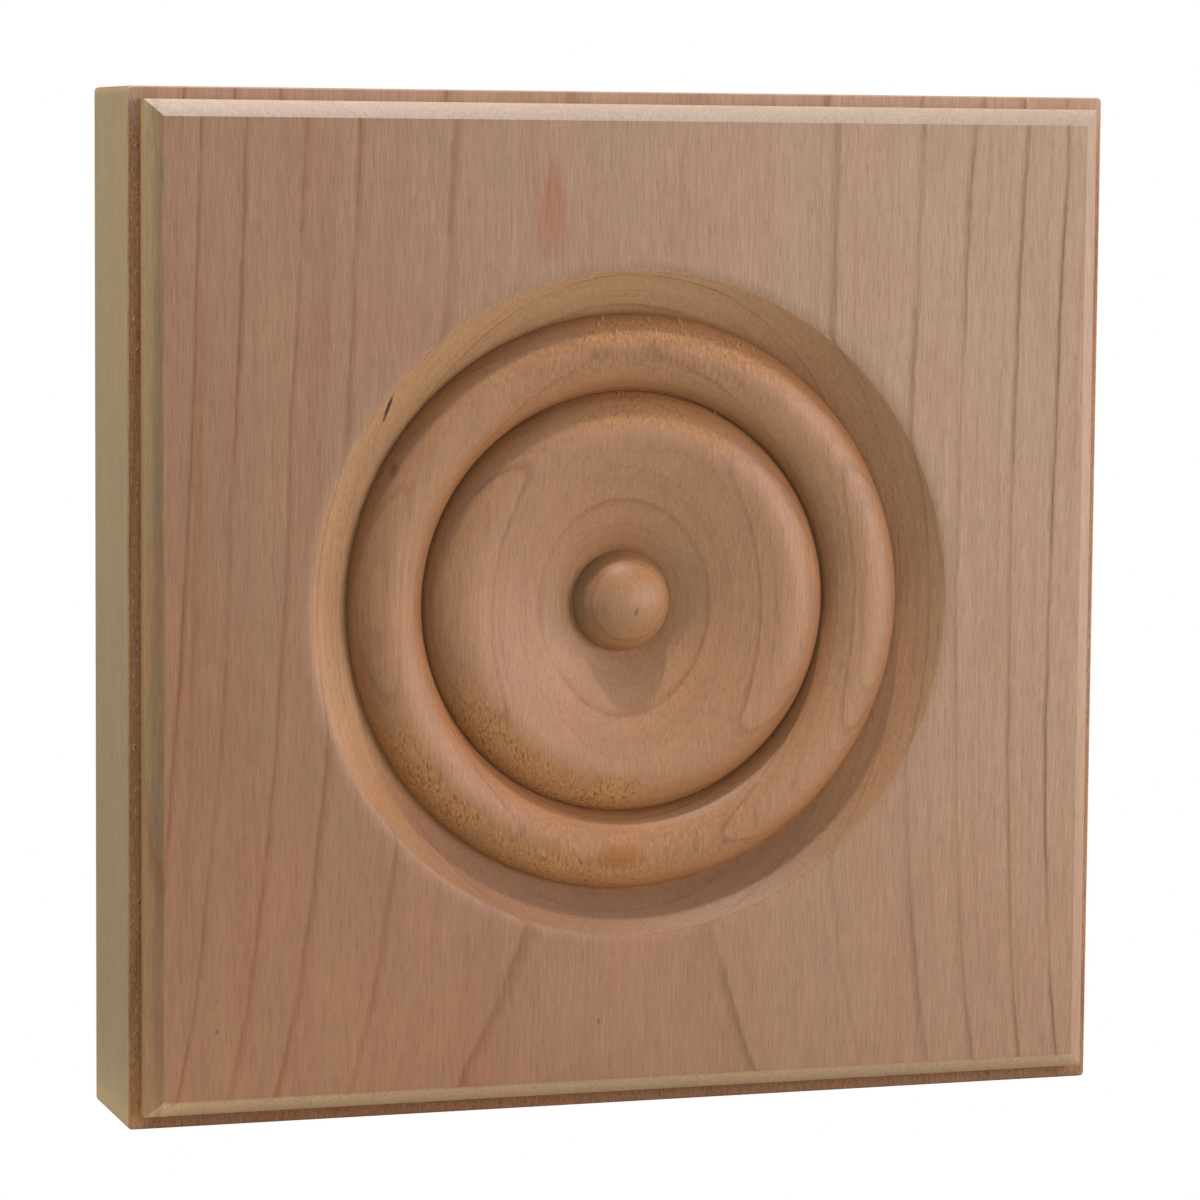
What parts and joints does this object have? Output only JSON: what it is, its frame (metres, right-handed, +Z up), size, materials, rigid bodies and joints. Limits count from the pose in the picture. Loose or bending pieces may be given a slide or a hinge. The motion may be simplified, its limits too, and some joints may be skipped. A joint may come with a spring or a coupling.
{
  "type": "corner rosette block",
  "caption": "Square wooden corner block for door and window casings, with a moulded edge and a bull's-eye rosette turned into its face.",
  "frame": {"origin": "centre of the flat back, which lies in the plane y = 0", "axes": "the carved face looks along -Y and the back along +Y; +Z is up, along the grain; +X is to the right as the face is seen"},
  "size_m": [0.1142, 0.0206, 0.1142],
  "materials": {
    "cherry": "sanded, no finish"
  },
  "bodies": {
    "root": {"rosette_block": "cherry"}
  },
  "joints": []
}
